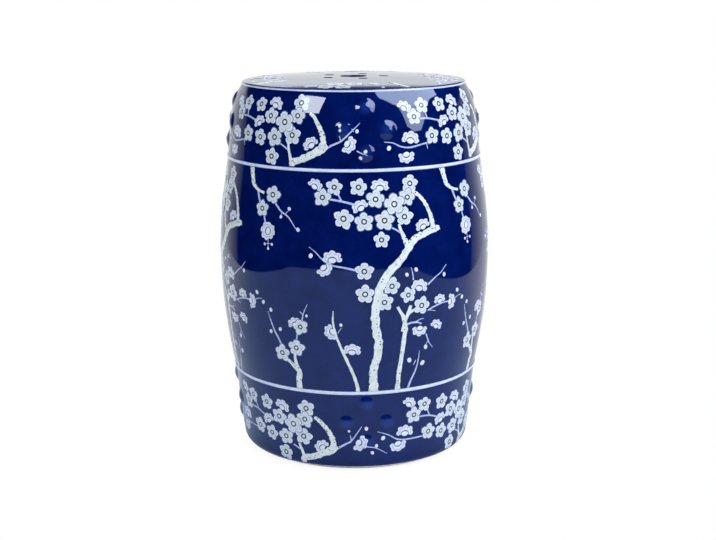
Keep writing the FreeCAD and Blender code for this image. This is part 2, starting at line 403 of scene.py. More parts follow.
def turnedRing(name, node, outline, materials, rowPaint):
    # closed outline of (radius, level) rows turned about the axis; rowPaint is each row's material
    columns = wall["columns"]
    angle = 2 * np.pi * np.arange(columns) / columns
    radius, level = outline[:, :1], np.repeat(outline[:, 1:], columns, 1)
    points = np.stack([radius * np.sin(angle), -radius * np.cos(angle), level], -1)
    faces = gridFaces(len(outline), columns, closedRows=True)
    newPiece(name, points, [faces], materials, node, np.asarray(rowPaint)[faces[:, 0] // columns])


def wallRows(low, high, spacing):
    # rows of the wall's outline between two levels
    start, end = runAt(low), runAt(high)
    return np.stack(onWall(np.linspace(start, end, int((end - start) / spacing) + 2))[:2], 1)


def makeWalls():
    # each outline runs up the outside and down the inside, a wall's thickness in; the base's goes on
    # down the mouth of the foot
    mouth = footRadius - wall["footWidth"]
    for name, node, low, high in (
        ("lowerBellyWall", "lower_belly", lowerLineLevel, waistLevel),
        ("upperBellyWall", "upper_belly", waistLevel, upperLineLevel),
        ("shoulderWall", "shoulder_band", upperLineLevel, rimLevel),
        ("baseWall", "base_band", footLevel, lowerLineLevel),
    ):
        atFoot, atRim = low == footLevel, high == rimLevel
        outside = wallRows(low, high, wall["footRows" if atFoot else "rows"])
        inside = wallRows(footTop + wall["insideStart"] if atFoot else low, high, wall["insideRows"])[::-1]
        inside[:, 0] -= wall["thickness"]
        inside[0, 1] += 0 if atRim else wall["bevelRise"]
        inside[-1, 1] = footTop if atFoot else inside[-1, 1] + wall["bevelRise"]
        if atFoot:
            inside = np.concatenate([inside, [[mouth, footTop], [mouth, footLevel]]])
        outline = np.concatenate([outside, inside])
        bare = (np.arange(len(outline)) >= len(outside) - 1) | (outline[:, 1] < footLevel + wall["wipedEdge"])
        turnedRing(name, node, outline, [cobaltGlaze, bareClay], bare)


makeWalls()
print("walls made")

# Raised white lines.

lines = {
    "width": 4.9,
    "root": 0.8,           # depth of the line's flat back in the wall
    "sunk": 0.05,          # its edges lie this much under the glaze
    "firstRow": 0.3,       # share of half the width
    # shares of half the width, white up to the first and bleeding up to the second
    "shares": {"lowerLine": (0.76, 0.93), "upperLine": (0.60, 0.78)},
    "rimSize": 3.1,
    "rimFullness": 0.075,  # rim's line is this much fuller than a quarter round
    "rimSteps": 17,
    "rimSunk": 0.2,        # its back ends this much under the seat's edge
    "rimShares": (0.30, 0.46),  # the same over the quarter round, from the wall up to the seat
}


def makeLines():
    # half-round beads over the joints: rise times root(1 - across^2), sunk a little at the sides;
    # white in the middle, then the bleeding edge and blue, by how far out on the bead a face lies
    finishes = [lineGlaze, lineBleed, cobaltGlaze]
    for name, node, level in (("lowerLine", "lower_line", lowerLineLevel),
                              ("upperLine", "upper_line", upperLineLevel)):
        white, bleed = lines["shares"][name]
        half = np.r_[0, lines["firstRow"], white, (white + bleed) / 2, bleed, (1 + 2 * bleed) / 3,
                     (2 + bleed) / 3, 1]
        across = np.r_[-half[:0:-1], half]
        radius, height, outward, upward = onWall(runAt(level) + across * lines["width"] / 2)
        lift = wall["lineRise"] * np.sqrt(1 - across ** 2) - lines["sunk"]
        bead = np.stack([radius + outward * lift, height + upward * lift], 1)
        between = np.abs(across[1:] + across[:-1]) / 2
        turnedRing(name, node, np.concatenate([bead, bead[[-1, 0]] - [lines["root"], 0]]),
                   finishes, np.r_[np.digitize(between, (white, bleed)), 2, 2, 2])
    # quarter-round in the corner between the rim and the seat
    turn = np.linspace(0, np.pi / 2, lines["rimSteps"])
    full = lines["rimSize"] * (1 + lines["rimFullness"] * np.sin(2 * turn))
    back = seatRadius - lines["root"]
    outline = np.concatenate([[seatRadius, rimLevel] + polar(full, turn),
                              [[back, seatEdgeLevel - lines["rimSunk"]], [back, rimLevel]]])
    turnedRing("rimLine", "rim_line", outline, finishes,
               np.r_[np.digitize((turn[1:] + turn[:-1]) / np.pi, lines["rimShares"]), 2, 2, 2])


def makeBosses():
    # domes on polar grids round their centres, from the crown down to a foot under the glaze
    reach = boss["reach"] * np.array(boss["rings"])
    lift = np.where(np.arange(len(reach)) < len(reach) - 1, *boss["lifts"])[:, None]
    angle = 2 * np.pi * np.arange(boss["columns"]) / boss["columns"]
    across, along = polar(reach[:, None], angle).transpose(2, 0, 1)
    for name, node, centres in (("upperBossDomes", "upper_bosses", upperBosses),
                                ("lowerBossDomes", "lower_bosses", lowerBosses)):
        rounds, runs = centres.T[:, :, None, None]
        turn = rounds + np.degrees(across / onWall(runs)[0])
        points = draped(turn, runs + along, lift)
        # share of thin glaze and painted glow: highest on the crowns, none at the domes' feet
        thinGlazeAndGlow = np.broadcast_to((domeHeight(reach) / boss["height"])[:, None] ** 2, points.shape[:3])
        newPiece(name, points, shellFaces(*points.shape[:3]), [bossGlaze], node, thinGlazeAndGlow=thinGlazeAndGlow)


makeLines()
makeBosses()
print("lines and bosses made")

# Seat: a crowned disc pierced as a blossom.

seat = {
    "liftHole": 15.0,      # radius of the hole in the middle,
    "petalHole": 4.5,      # of the small ones,
    "petalRing": 36.5,     # and of the ring that they stand on
    "petals": 5,
    "softEdge": 2.2,       # glazed edges of the holes are round
    "softDrop": 0.8,       # share of a quarter round that they drop
    "softRows": [0, 0.04, 0.15, 0.32, 0.6, 1.0],  # shares of the soft edge
    "innerZone": 25.0,     # radius at which the ring of faces round the lift hole ends,
    "outerZone": 48.0,     # and at which the outer one starts
    "innerRows": [0.45, 0.7, 1],
    "petalRows": [0.2, 0.45, 0.72, 1],
    "outerRows": 24,
    "rimRows": [6, 4, 2.5, 1.2, 0.4, 0],  # mm in from the rim
    "crown": 4.2,
    "thickness": 9.0,
    "spigot": 4.6,         # seat's edge outside the part that drops into the shoulder
    "pulledIn": 2.0,       # underside from this far inside the spigot's edge is drawn in to it
    "holeDepth": 2.0,      # glaze runs down this far inside the holes
    "arcSteps": 36,
    "sideSteps": 12,
}


def crownHeight(radius):
    # crown that stays full and falls off near the rim: crown times share cubed
    return crownLevel - seat["crown"] * (radius / seatRadius) ** 3


def seatTop(flat):
    # crown less the soft edges: quarter circles near each hole
    centres = polar(seat["petalRing"], 2 * np.pi * np.arange(seat["petals"]) / seat["petals"])
    radius = np.hypot(*flat.T)
    away = np.hypot(*(flat[:, None] - centres).transpose(2, 0, 1)).min(1)
    distance = np.minimum(radius - seat["liftHole"], away - seat["petalHole"])
    soft = seat["softEdge"]
    inward = np.clip(soft - distance, 0, soft)
    return crownHeight(radius) - (soft - np.sqrt(soft ** 2 - inward ** 2)) * seat["softDrop"]


def seatZones():
    # flat quads of the disc with its holes: ring, ring, five patches each wrapped round a hole
    arcSteps, sideSteps, petals = seat["arcSteps"], seat["sideSteps"], seat["petals"]
    hole, inside, outside = seat["liftHole"], seat["innerZone"], seat["outerZone"]
    columns = arcSteps * petals
    soft = seat["softEdge"] * np.array(seat["softRows"])
    rims = seatRadius - np.array(seat["rimRows"])
    inner = hole + np.r_[soft, (inside - hole) * np.array(seat["innerRows"])]
    outer = np.r_[np.linspace(outside, rims[0], seat["outerRows"]), rims[1:]]
    angle = 2 * np.pi * (np.arange(columns) / columns - 0.5 / petals)
    zones = [polar(rows[:, None], angle) for rows in (inner, outer)]
    half = np.pi / petals
    sweep = np.linspace(-half, half, arcSteps + 1)
    reach = np.linspace(outside, inside, sideSteps + 1)
    share = np.r_[np.zeros(len(soft)), seat["petalRows"]][:, None, None]
    depth = seat["petalHole"] + np.r_[soft, np.full(len(seat["petalRows"]), soft[-1])][:, None, None]
    rounds = np.r_[sweep[:-1], np.full(sideSteps, half), sweep[:0:-1], np.full(sideSteps, -half)]
    radii = np.r_[np.full(arcSteps, outside), reach[:-1], np.full(arcSteps, inside), reach[:0:-1]]
    for middle in 2 * np.pi * np.arange(petals) / petals:
        border = polar(radii, rounds + middle)
        centre = polar(seat["petalRing"], middle)
        ray = (border - centre) / np.hypot(*(border - centre).T)[:, None]
        start = centre + ray * depth
        zones.append(start + share * (border - start))
    return zones


def makeSeat():
    # top and underside of each zone, joined by side faces round its hole or, on the outer zone, the rim
    zones = seatZones()
    points, faces, paint, count = [], [], [], 0
    spigot = seatRadius - seat["spigot"]
    for zone, grid in enumerate(zones):
        rows, columns = grid.shape[:2]
        flat = grid.reshape(-1, 2)
        top = np.column_stack([flat, seatTop(flat)])
        beyond = np.hypot(*flat.T) > spigot - seat["pulledIn"]
        pulled = flat * np.where(beyond, spigot / seatRadius, 1)[:, None]
        under = np.column_stack([pulled, crownHeight(np.hypot(*pulled.T)) - seat["thickness"]])
        quads = gridFaces(rows, columns)
        atRim = zone == 1
        loop = (rows - 1 if atRim else 0) * columns + np.arange(columns)
        edge = top[loop]
        if atRim:
            rest = edge * [1, 1, 0] + [0, 0, rimLevel]
            middle = [rest, rest * [spigot / seatRadius, spigot / seatRadius, 1]]
        else:
            middle = [edge - [0, 0, seat["holeDepth"]]]
        base = count + 2 * len(flat)
        rings = [loop + count, *(base + np.arange(len(middle))[:, None] * columns + np.arange(columns)),
                 loop + count + len(flat)]
        sides = [np.stack([upper, np.roll(upper, -1), np.roll(lower, -1), lower], 1)
                 for upper, lower in zip(rings, rings[1:])]
        points += [top, under, *middle]
        faces += [quads + count, quads[:, ::-1] + count + len(flat), *sides]
        paint += np.repeat([0, 1, 0], [len(quads), len(quads), len(sides) * columns]).tolist()
        count = base + len(middle) * columns
    # rows that two zones share are one row: equal places get one number
    allPoints = np.concatenate(points)
    _, first, same = np.unique(np.round(allPoints, 3), axis=0, return_index=True, return_inverse=True)
    newPiece("seatDisc", allPoints[first], [same.ravel()[np.concatenate(faces)]],
             [cobaltGlaze, bareClay], "seat", paint)


makeSeat()
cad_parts["foot_ring"].material_slots[0].material = bareClay
print("seat made")

# Plum blossom drawing: thin closed shells of slip and ink laid on the glaze.
# Each band has one motif, drawn four times round. Fronts are (round, level, size, layer),
# sides (round, level, size, facing, layer) with facing in degrees from up towards +round,
# buds (round, level, size), and strokes rows of (round, level, width). A higher layer lies over a
# lower one, and one between or under the whole numbers settles blossoms that meet.

upperMotif = {
    "levels": (363.6, 445),
    "fronts": [
        (-57.8, 429.5, 9, 0), (-62.6, 417.5, 9, 1), (-47.4, 429.5, 9.2, 0), (-24.3, 433.5, 10, 0),
        (-25.3, 419.5, 9.6, 1), (-39.7, 417.7, 9.8, 0), (-54.1, 395.3, 9.6, 1), (-45.1, 393, 9.8, 0),
        (-36.5, 394.5, 10.6, 1), (-27.4, 398, 10.6, 0), (-31.5, 412, 11.8, 2), (-37.8, 372.8, 9.8, 0),
    ],
    "sides": [
        (-66.8, 428.5, 9.5, 30, 0), (-38, 431, 10.5, 20, 0), (-46.5, 410, 9.5, -25, 2),
        (-65, 393.5, 11.5, 10, 1), (-67.2, 374.5, 10.5, 175, 0), (-18.7, 389, 10, -35, 0),
        (-2.2, 389, 10.5, 120, 1),
    ],
    "buds": [
        (-5.9, 410.4, 2), (-5.8, 404.6, 2), (1.4, 403.8, 2.6), (4.8, 381.2, 2.6), (2.8, 374.4, 2.4),
        (-75, 384.4, 3.2),
    ],
    "trunks": [
        [(-27.6, 362, 9), (-26.6, 368.5, 10), (-23, 371.5, 10), (-18.7, 376.8, 10.5), (-14.6, 382.6, 11.5),
         (-11.4, 387.6, 6)],
        [(-14.2, 383, 10), (-13.2, 392, 8.5), (-14, 401.5, 7), (-15.8, 410.5, 6), (-18.4, 419.5, 5.2),
         (-20.4, 422.5, 4.6)],
        [(-27.4, 365, 5.5), (-28.3, 374.5, 4.4), (-29.2, 382.5, 3.6), (-29.8, 391, 3)],
    ],
    "twigs": [
        [(-29.2, 381.5, 3), (-31.7, 385.5, 2.6), (-34, 388.5, 2.2)],
        [(-13.2, 383, 5), (-9.1, 388.5, 3.4), (-5.3, 393.2, 3), (-1.4, 402.5, 2.2), (2.8, 412.8, 1)],
        [(-5.6, 393, 2), (-6, 398.6, 1)], [(0, 403, 1.4), (-0.8, 406.5, 1)],
        [(1.2, 382.2, 2.4), (3.2, 379.4, 1.8), (5.6, 377.2, 1)],
        [(-59.5, 415, 3), (-55.5, 414.8, 3), (-49.5, 411.8, 3)], [(-56.4, 421.5, 2.4), (-55.2, 415.2, 2.4)],
        [(-77, 391.2, 1.2), (-73.2, 390, 1.8), (-69.4, 385.6, 2.4), (-65.4, 384, 2.8), (-60.7, 386, 2.6),
         (-56.2, 388.2, 2.4)], [(-57.2, 388, 2), (-56.4, 381, 1)],
    ],
}

lowerMotif = {
    "levels": (3.4, 98),
    "fronts": [
        (-45.8, 76.2, 9.6, 0), (-23, 78.4, 10.6, 0), (-24, 64.2, 10, 1), (-38.4, 61.8, 10.4, 0),
        (-53, 41.8, 10.2, 1), (-44.3, 37.5, 9.8, 0), (-35.1, 38, 10.4, 1), (-25.2, 42, 11, 0),
        (-30.2, 56, 12, 2), (-36, 17, 10.2, 0), (-56.5, 78.8, 9.6, 0), (-62, 67.5, 9.6, 1),
    ],
    "sides": [
        (-35.9, 76, 10.8, 20, 0), (-45.8, 54, 9.6, -25, 2), (-64.7, 83, 9.6, 35, 0),
        (-66.2, 47.5, 11.6, 5, 1), (-69.4, 31.5, 10.8, 170, 0), (-16.3, 32, 9.8, -35, 0),
        (2.1, 37.5, 11, 120, 1),
    ],
    "buds": [(-3, 53.2, 2), (5, 55.8, 2.8), (9.9, 33.2, 2.6), (8, 24.5, 2.6), (-77, 42.5, 3.2)],
    "trunks": [
        [(-26, 8, 9), (-25, 14, 10), (-21.5, 16.4, 10), (-16.5, 21.4, 10.5), (-11.4, 27.5, 11.5),
         (-8.4, 32.6, 6)],
        [(-11.2, 28, 10), (-10.4, 38, 8.8), (-11.6, 48, 7.4), (-13.8, 57, 6.2), (-17, 65.5, 5.4),
         (-18.6, 68, 4.8)], [(-25, 12, 5.6), (-26.2, 23, 4.6), (-27.4, 32.5, 3.4)],
    ],
    "twigs": [
        [(-26.3, 23.5, 3.2), (-28.6, 26.4, 2.8), (-31, 29.4, 2.4)],
        [(-9.4, 29, 5), (-4.7, 36.2, 3.4), (-1.7, 41.2, 2.8), (2.9, 59, 1)],
        [(-2, 41.5, 2), (-2.4, 47.5, 1)], [(5, 34.2, 2.4), (10.2, 29.8, 1.8), (15.2, 22.4, 0.9)],
        [(-79.8, 51.2, 1), (-74.8, 46.2, 1.8), (-70.9, 39.6, 2.6), (-65.9, 37.5, 2.8), (-57, 37.6, 2.4)],
        [(-58.8, 64, 3), (-53, 62.4, 3), (-47, 56.5, 3)], [(-54.6, 70.5, 2.4), (-53.4, 63.4, 2.4)],
    ],
}

bellyMotif = {
    "levels": (103.2, 358.4),
    "fronts": [
        (-13, 330.6, 9.6, 1), (-8.2, 342.2, 9.4, 0), (1.8, 342.2, 9.6, 0), (23.7, 344.2, 10.2, 0),
        (22.2, 329.2, 9.6, 1), (8.7, 328.6, 10.4, 1), (16.4, 322.4, 12, 3), (-4.3, 307.6, 11.4, 0),
        (3.9, 304.2, 10.5, 1), (12.1, 304.8, 10.8, 2), (20.5, 307.8, 10.4, 0), (10.7, 283.4, 9.3, 0),
        (3.8, 248.2, 10.5, 0), (4.1, 221.8, 11, 0), (14.8, 229.8, 10.2, 0), (11.8, 211.4, 10, -0.5),
        (21.7, 218, 9.2, 0), (27.8, 203.8, 10.4, 0), (-35.8, 329.8, 10.4, 1), (-40.9, 313.2, 9.4, 1),
        (-32.2, 145.6, 10, 1), (-25.1, 154.2, 10, 1), (-22.6, 180.6, 9.2, 1),
    ],
    "sides": [
        (-16.2, 343.6, 9.4, 30, 0), (10.7, 342.6, 10.8, 5, 0), (2.4, 320.6, 10, -30, 0),
        (28.4, 296.4, 9.8, -20, 0), (-8.7, 263, 11.6, 0, 1), (-11.8, 250.6, 10.4, 140, 0),
        (26.6, 226.6, 11.2, 15, 1), (-37.9, 288.8, 11.4, -80, 0), (-36.2, 288.2, 9.6, 100, 1),
        (36.6, 207.4, 8.6, -5, 0), (42.9, 202.4, 9.8, 90, 1), (27.4, 174.6, 10.2, 185, 1),
        (35.6, 177.2, 8.8, 25, 0), (-9.7, 176.6, 10, -110, 1), (-1.2, 154.4, 10.8, 5, 1),
        (-25.2, 184.4, 9, -20, 0),
    ],
    "buds": [
        (-23, 293.5, 2.8), (-31, 306.2, 2.3), (-27.3, 315.9, 2.6), (-17.4, 265, 3.2), (-19.7, 194.4, 2),
        (-36.3, 196.4, 2.8), (-32.2, 174.6, 2.8), (-37.1, 170, 2.8), (-5.6, 185.6, 2.3), (21, 242, 2.7),
        (25, 246.9, 3), (38.5, 236.6, 2.9), (46.5, 214.4, 3), (49.9, 204.2, 2.8), (30.9, 152.4, 3.2),
        (23.5, 138.6, 3.5), (30, 132.8, 3.6), (-38.6, 273.2, 1.9), (-36.8, 268.6, 2), (-34.9, 273.8, 1.9),
    ],
    "trunks": [
        [(8, 101, 13), (7.9, 112, 12.2), (7.7, 130, 11.6), (8.9, 148, 11), (9, 165, 11.2),
         (7.8, 182.6, 11.2), (7.4, 200.3, 11), (8.2, 217, 10.8), (9.7, 232.6, 10.6), (12.8, 247.4, 10.2),
         (17, 260, 10.2), (19.8, 272, 9.8), (22.5, 281.6, 9.6), (27.2, 287.4, 9.4), (31.6, 290.8, 9.2),
         (33.7, 292, 6.6)],
        [(33.4, 290.6, 8.4), (33.2, 301.8, 7.4), (32.3, 312, 6.4), (30.7, 322.4, 5.8), (28.1, 331, 5.4),
         (25.6, 335, 4.8)], [(21.6, 275, 9), (20.1, 284.6, 6.4), (18.9, 293, 4.4), (18.3, 300, 3.4)],
        [(18.9, 101, 8), (18.7, 114, 7), (18.6, 130, 6.2), (18.9, 150, 5.8), (19.3, 171, 6.4),
         (19.4, 180, 6), (17.9, 194.4, 4.6), (15.7, 205, 3.8)],
        [(19.6, 175, 5.6), (20.4, 186, 5.2), (21.4, 195, 5), (22.6, 205.5, 4.2)],
        [(20.9, 192, 4.6), (22.8, 197.6, 4.2), (26, 201, 3.6)],
        [(1.2, 101, 5.6), (0.7, 112, 5), (-1, 126.8, 4.6), (-3.6, 144.4, 4.2), (-5.6, 159, 3.6),
         (-7.2, 173.8, 3), (-8.1, 188.5, 2.4), (-7.9, 202, 1.2)],
        [(-25.4, 101, 9.6), (-25, 112, 8.6), (-24, 124, 8.4), (-26.2, 132.4, 6.2), (-29.2, 139.6, 4.6),
         (-31.4, 146, 4)], [(-24.2, 122, 6), (-25.5, 137, 4.8), (-25.3, 148, 4.2)],
        [(-49.6, 359, 9.5), (-48.2, 349, 8), (-46.8, 340, 6.6), (-43.8, 334, 4.6), (-39.6, 330.6, 3.8)],
    ],
    "twigs": [
        [(19, 289.6, 3.4), (16.6, 294.2, 2.8), (14.2, 297.6, 2.4)],
        [(19.5, 176.5, 4.2), (22, 183.6, 3.6), (25.6, 184.4, 3), (28, 181.8, 2.6)],
        [(24.8, 184.2, 1.8), (27, 187, 1.4), (29, 188.2, 0.9)],
        [(23.8, 235, 2.4), (23.5, 242, 1.8), (22.8, 250, 0.9)],
        [(30.4, 227.6, 3), (34.3, 235.6, 2.2), (36.9, 240, 1.8), (39.6, 248, 0.9)],
        [(30.8, 196.8, 3), (34, 200.4, 2.8), (38, 203, 2.8), (41.5, 203.2, 2.4)],
        [(31.2, 197.4, 1.6), (34.6, 194.8, 0.9)],
        [(44.6, 204.6, 1.8), (47.2, 207.4, 1.4), (49.2, 208, 0.9)],
        [(30.6, 168.6, 2.6), (32.6, 157.8, 1.8), (35, 150.4, 0.9)], [(32.2, 160.6, 1.6), (30.9, 155, 1)],
        [(23.8, 101, 4.4), (24.6, 112, 3.6), (26.1, 125, 2.6), (26.6, 138.5, 1.8), (26.5, 149, 0.8)],
        [(25.6, 131.8, 1.4), (26.4, 137.6, 1.8)],
        [(-31.8, 152, 4.2), (-33, 162, 3.4), (-34.6, 171.4, 2.8), (-35.9, 183, 2), (-36.9, 194, 0.9)],
        [(-24.9, 161, 3), (-24, 172, 2.6)], [(-21.8, 187.6, 2.6), (-20.8, 198, 1.8), (-19, 208.2, 0.8)],
        [(-22.6, 199, 0.9), (-21, 194.6, 1.4)],
        [(-10.6, 329, 3.2), (-6.6, 327.4, 3.4), (-3, 325.4, 3.6), (0.6, 322.6, 4.2)],
        [(-6.8, 335.6, 2.8), (-5.2, 327.6, 2.8)],
        [(-44.6, 334.6, 4.8), (-43.2, 326, 4.2), (-41.8, 319, 3.6)], [(-39.6, 305.4, 3.2), (-38.4, 297, 3)],
        [(-36.9, 280, 1.6), (-36.7, 269.5, 1.2)], [(-36.8, 274.6, 1), (-38.4, 273.4, 1)],
        [(-36.8, 274.6, 1), (-35, 274, 1)],
        [(-34.4, 321.6, 3.4), (-30.9, 312.6, 2.8), (-27.1, 306.6, 2.4), (-23.4, 294.4, 1.2)],
        [(-29, 309.8, 1.4), (-27.8, 313.6, 1)], [(-30.6, 311.6, 1.2), (-31, 308, 1)],
        [(0.8, 249.6, 3.6), (-4.1, 252.6, 3.2), (-8.7, 255, 2.8), (-12.3, 260.4, 2.2), (-15.3, 268.8, 1.6),
         (-18.2, 275, 0.7)], [(-6.9, 176, 1.4), (-5.4, 182, 1)],
    ],
}

seatMotif = {
    # here the second number is the distance in from the seat's edge
    "levels": (2.5, 48),
    "fronts": [(-15.5, 13, 9.6, 0), (-6, 14, 10.2, 1), (-12.5, 35.5, 9.8, 0), (0.5, 36.5, 10.4, 1)],
    "sides": [(-24.5, 15, 8.6, -60, 0), (12.5, 35.5, 9, 60, 0)],
    "buds": [(15.5, 8, 2.8), (68, 16, 2.6)],
    "trunks": [
        [(28, 2, 9.5), (28.6, 10, 8.6), (27.6, 20, 8), (28.4, 32, 6.6), (27, 42, 5)],
    ],
    "twigs": [
        [(27.6, 26, 5), (20, 25, 4.2), (8, 25, 3.6), (-8, 24, 3), (-22, 19, 1.2)],
        [(50, 2, 4.6), (55, 9, 4), (63, 21, 2.6), (68, 22, 1)],
    ],
}

drawing = {
    "seed": 11,
    "ground": 0.16,        # mm, lift of the lowest slip
    "layerStep": 0.13,     # mm between layers that cross
    "sunk": -0.35,         # mm, edges run down under the glaze
    "columns": 40,         # points round a blossom
    "lineWidth": 0.9,      # mm, inked petal lines
}


def perRow(*values):
    # one value for each row of a shell from its middle out: a share of its radius, or mm of lift
    return np.array(values)[:, None]


def overWall(low, high):
    # places on the wall between two levels
    lowest, highest = runAt(low), runAt(high)

    def place(centres, across, along, lift):
        # turn = centre's turn + across / radius, run = centre's run + along, kept within the band
        rounds, run = centres[:, :1, None], runAt(centres[:, 1:, None])
        turn = rounds + np.degrees(across / onWall(run)[0])
        return draped(turn, np.clip(run + along, lowest, highest), lift)

    def flatten(rounds, levels):
        # lengths round and up the wall
        run = runAt(levels)
        return np.stack([np.radians(rounds) * onWall(run)[0], run], 1)

    return place, flatten


def overSeat(low, high):
    # places on the seat; up the motif is in towards the axis
    def place(centres, across, along, lift):
        # turn = centre's turn + across / radius, radius = centre's radius - along, between two rings
        rounds, radius = np.radians(centres[:, :1, None]), seatRadius - centres[:, 1:, None]
        turn, away = rounds + across / radius, np.clip(radius - along, seatRadius - high, seatRadius - low)
        return np.stack(np.broadcast_arrays(away * np.sin(turn), -away * np.cos(turn),
                                            crownHeight(away) + lift), -1)

    def flatten(rounds, insets):
        # lengths round the seat at the stroke's own radius, and in from its edge
        return np.stack([np.radians(rounds) * (seatRadius - insets.mean()), insets], 1)

    return place, flatten


def lay(art, finish, centres, across, along, lift, closedRows=False):
    # shells (shell, row, column) about their centres, laid on the surface and turned four times round
    quarters = [art["place"](centres, across, along, lift)]
    for _ in range(3):
        x, y, z = np.moveaxis(quarters[-1], -1, 0)
        quarters.append(np.stack([-y, x, z], -1))
    art["parts"].setdefault(finish, []).append((np.concatenate(quarters), closedRows))


def laySpecks(art, finish, centres, across, along, radius, lift):
    # small six-sided specks (centre, speck) round their centres
    corner = np.linspace(0, 2 * np.pi, 6, endpoint=False)
    count = across.shape[1]
    across, along, radius = (part.reshape(-1, 1, 1) for part in (across, along, radius))
    rows = radius * perRow(0.5, 1.0)
    lay(art, finish, centres.repeat(count, 0), across + rows * np.cos(corner),
        along + rows * np.sin(corner), lift.repeat(count, 0) + perRow(0.07, -0.1))


def placesOf(entries):
    # (round, level, size, ..., layer) rows as centres, sizes, what stands between, and lifts
    rows = np.array(entries, float)
    lift = drawing["ground"] + drawing["layerStep"] * rows[:, -1, None, None]
    return rows[:, :2], rows[:, 2:3], rows[:, 3:-1], lift


blossom = {
    "lean": 16,            # degrees that it may be turned either way
    "lobeDepth": 0.31,     # gaps between the petals, share of the blossom's size
    "lobeShape": 0.55,     # under 1 the petals are broad and the gaps narrow
    "petals": (0.94, 1.05),  # a petal's length lies between these
    "tips": [0.13, 0.09, 0.04, -0.04],  # above 0 pointed, below it notched
    "tipReach": 0.34,      # rad from a petal's middle
    "petalLine": 0.71,     # share of the petals' outline
    "edge": (0.04, 0.965),  # shares that the edge starts inside the petal line, and where it falls off
    "outline": 0.75,       # mm, ink round a blossom that lies over others
    "ring": 0.25,          # radius of the centre's ring as a share of the size
    "ringWidth": 1.9,      # mm
    "ringColumns": 16,
    "dot": 0.115,
    "specks": 10,          # stamens, on a ring between the centre and the petal line
    "speckRing": 0.46,
    "speckSize": 0.42,     # mm
    "twist": 0.2,          # rad that dot and stamens are turned by
}


def layFronts(art, entries, random):
    # five-petalled blossoms seen from the front; outline = size x (1 - depth + depth |cos 2.5 a|^shape)
    centres, size, _, lift = placesOf(entries)
    count, depth, fifth = len(size), blossom["lobeDepth"], 2 * np.pi / 5
    tilt = np.radians(90 + random.uniform(-blossom["lean"], blossom["lean"], (count, 1)))
    angle = np.linspace(0, 2 * np.pi, drawing["columns"], endpoint=False)[None]
    outline = size * (1 - depth + depth * np.abs(np.cos(2.5 * angle)) ** blossom["lobeShape"])
    # petals are drawn by hand: some pointed, some with a small notch, none quite alike
    petal = np.round(angle[0] / fifth).astype(int) % 5
    offTip = np.abs((angle + fifth / 2) % fifth - fifth / 2)
    tips = random.choice(blossom["tips"], (count, 5))[:, petal]
    outline = outline * random.uniform(*blossom["petals"], (count, 5))[:, petal]
    outline = outline * (1 + tips * np.clip(1 - offTip / blossom["tipReach"], 0, 1))

    def layRows(finish, radius, high, turn=angle + tilt, chosen=slice(None), closedRows=False):
        turn = turn[chosen, None]
        lay(art, finish, centres[chosen], radius * np.cos(turn), radius * np.sin(turn), high, closedRows)

    rim, size, sunk = outline[:, None], size[:, None], np.full_like(lift, drawing["sunk"])
    line, ring = rim * blossom["petalLine"], size * blossom["ring"]
    inside, falloff = blossom["edge"]
    layRows("edge", np.concatenate([line - rim * inside, rim * falloff, rim], 1),
            np.concatenate([lift, lift, sunk], 1))
    layRows("heart", np.concatenate([np.broadcast_to(ring, rim.shape), line, line + 0.05], 1),
            lift + perRow(0.02, 0.02, -0.2))
    layRows("soft", line + drawing["lineWidth"] * perRow(-0.5, 0, 0.5), lift + perRow(-0.08, 0.05, -0.08),
            closedRows=True)
    over = lift[:, 0, 0] > drawing["ground"]
    layRows("soft", rim[over] * perRow(0.9, 1, 1) + perRow(0, 0.8, 1.0) * blossom["outline"],
            np.concatenate([lift[over] - 0.05, lift[over] - 0.05, sunk[over]], 1), chosen=over)
    # centre: a dark ring with a white dot in it, and the stamens round it
    corner = np.linspace(0, 2 * np.pi, blossom["ringColumns"], endpoint=False)[None]
    layRows("dark", ring + perRow(-0.5, -0.3, 0.3, 0.5) * blossom["ringWidth"],
            lift + perRow(-0.05, 0.08, 0.08, -0.05), corner.repeat(count, 0), closedRows=True)
    layRows("dot", size * blossom["dot"] * perRow(0.45, 0.85, 1.0), lift + perRow(0.14, 0.10, -0.2),
            corner[:, ::2].repeat(count, 0) + blossom["twist"])
    turns = np.linspace(0, 2 * np.pi, blossom["specks"], endpoint=False) + tilt + blossom["twist"]
    away = blossom["speckRing"] * size[:, 0]
    laySpecks(art, "soft", centres, away * np.cos(turns), away * np.sin(turns),
              np.full(turns.shape, blossom["speckSize"]), lift)


sideBlossom = {
    "squash": 0.8,         # seen from the side it is this much shorter
    "fan": 128,            # degrees either way that the petals spread over
    "petalWidth": 52,      # degrees
    "petalShape": 0.6,
    "petals": (0.72, 0.28),  # outline in the gaps, and what the petals add
    "back": 0.46,
    "uneven": (0.95, 1.05),
    "petalLine": 0.70,
    "cupAt": -0.20,        # along the facing, share of the size
    "cup": (0.27, 0.36),   # half length and half width
    "cupColumns": 18,
    "brow": (0.32, 0.42),
    "browSweep": 1.9,      # rad either way
    "browWidth": (0.7, 1.1, 1.25),  # mm at its ends, what its middle adds, and how far that reaches
    "browSteps": 15,
}


